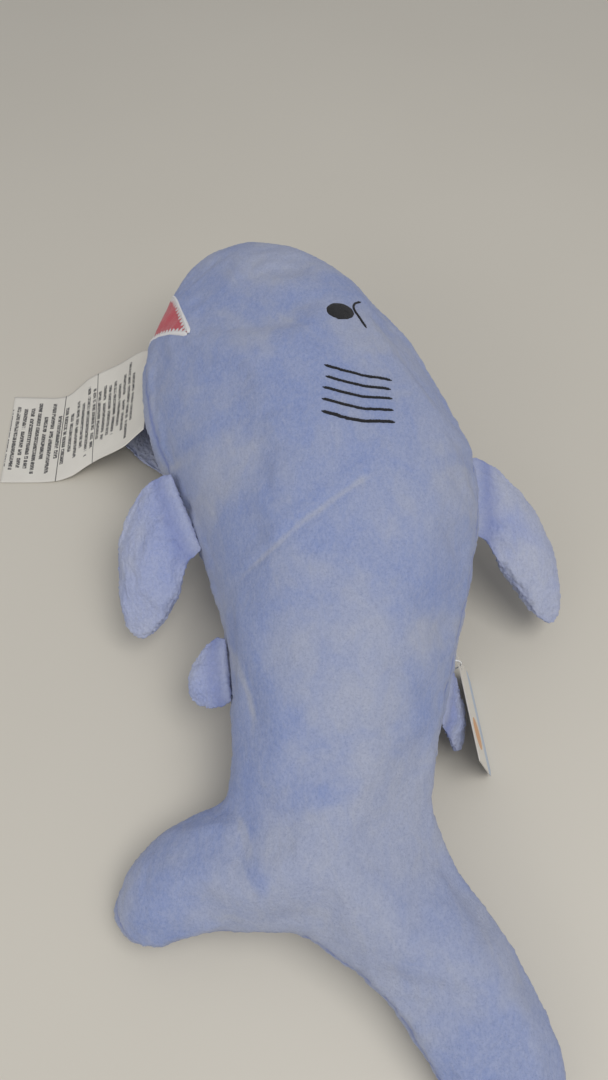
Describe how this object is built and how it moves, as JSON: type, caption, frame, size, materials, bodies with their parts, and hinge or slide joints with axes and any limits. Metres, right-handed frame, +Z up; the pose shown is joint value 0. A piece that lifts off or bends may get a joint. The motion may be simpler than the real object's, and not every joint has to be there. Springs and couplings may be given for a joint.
{
  "type": "plush shark",
  "caption": "Soft stuffed toy shark lying on its side, with sewn fins that flap, a tail that bends, a flapping sewn-in label and a swinging hang tag.",
  "frame": {"origin": "centre of the bottom of the bounding box, on the surface that the toy lies on", "axes": "+Y towards the snout, +X towards the back, +Z up, which is the toy's left side"},
  "size_m": [0.3296, 0.4866, 0.1121],
  "materials": {
    "plush": "short pile plush",
    "fin_plush": "short pile plush",
    "stuffing": "loose polyester fibre",
    "mouth_felt": "short nap fabric",
    "tooth_felt": "felt",
    "black_thread": "satin stitch",
    "label_cloth": "printed ribbon, matt",
    "card": "coated card",
    "nylon": "clear moulded nylon"
  },
  "bodies": {
    "body": {"side_panel_left": "plush", "side_panel_right": "plush", "belly_gusset": "plush", "body_stuffing": "stuffing", "mouth_lining": "mouth_felt", "upper_teeth": "tooth_felt", "lower_teeth": "tooth_felt", "eye_left": "black_thread", "eye_right": "black_thread", "gill_stitches_left": "black_thread", "gill_stitches_right": "black_thread", "tag_fastener": "nylon"},
    "tail": {"tail_panel_left": "plush", "tail_panel_right": "plush", "tail_stuffing": "stuffing"},
    "pectoral_fin_left": {"pectoral_fin_left_top_panel": "fin_plush", "pectoral_fin_left_bottom_panel": "fin_plush", "pectoral_fin_left_stuffing": "stuffing"},
    "pectoral_fin_right": {"pectoral_fin_right_top_panel": "fin_plush", "pectoral_fin_right_bottom_panel": "fin_plush", "pectoral_fin_right_stuffing": "stuffing"},
    "dorsal_fin": {"dorsal_fin_left_panel": "fin_plush", "dorsal_fin_right_panel": "fin_plush", "dorsal_fin_stuffing": "stuffing"},
    "second_dorsal_fin": {"second_dorsal_fin_left_panel": "fin_plush", "second_dorsal_fin_right_panel": "fin_plush", "second_dorsal_fin_stuffing": "stuffing"},
    "anal_fin": {"anal_fin_left_panel": "fin_plush", "anal_fin_right_panel": "fin_plush", "anal_fin_stuffing": "stuffing"},
    "label": {"sewn_label": "label_cloth"},
    "tag": {"hang_tag": "card"}
  },
  "joints": [
    {"name": "tail_bend", "type": "hinge", "parent": "body", "child": "tail", "pos_m": [0.03924, -0.10074, 0.032], "axis": [-1, 0, 0], "range_deg": [0, 28], "stiffness_Nm_per_rad": 0.6},
    {"name": "pectoral_fin_left_seam", "type": "hinge", "parent": "body", "child": "pectoral_fin_left", "pos_m": [-0.04273, 0.04123, 0.05206], "axis": [-0.3915, 0.8933, 0.2208], "range_deg": [-18, 60], "stiffness_Nm_per_rad": 0.03},
    {"name": "pectoral_fin_right_seam", "type": "hinge", "parent": "body", "child": "pectoral_fin_right", "pos_m": [-0.04038, 0.12185, 0.0044], "axis": [-0.2599, 0.9656, 0], "range_deg": [-30, 5], "stiffness_Nm_per_rad": 0.03},
    {"name": "dorsal_fin_seam", "type": "hinge", "parent": "body", "child": "dorsal_fin", "pos_m": [0.12224, 0.05276, 0.054], "axis": [-0.0803, -0.9837, -0.1606], "range_deg": [-12, 60], "stiffness_Nm_per_rad": 0.03},
    {"name": "second_dorsal_fin_seam", "type": "hinge", "parent": "body", "child": "second_dorsal_fin", "pos_m": [0.09674, -0.05321, 0.03488], "axis": [-0.2063, -0.9704, -0.1252], "range_deg": [-30, 2], "stiffness_Nm_per_rad": 0.015},
    {"name": "anal_fin_seam", "type": "hinge", "parent": "body", "child": "anal_fin", "pos_m": [-0.01572, -0.03889, 0.0399], "axis": [-0.1196, 0.9467, 0.299], "range_deg": [-20, 50], "stiffness_Nm_per_rad": 0.015},
    {"name": "label_seam", "type": "hinge", "parent": "body", "child": "label", "pos_m": [-0.07356, 0.13926, 0.0424], "axis": [0, 1, 0], "range_deg": [0, 70], "stiffness_Nm_per_rad": 0.004},
    {"name": "tag_swing", "type": "hinge", "parent": "body", "child": "tag", "pos_m": [0.10471, -0.03153, 0.02732], "axis": [0.103, -0.9947, 0], "range_deg": [0, 18]}
  ]
}
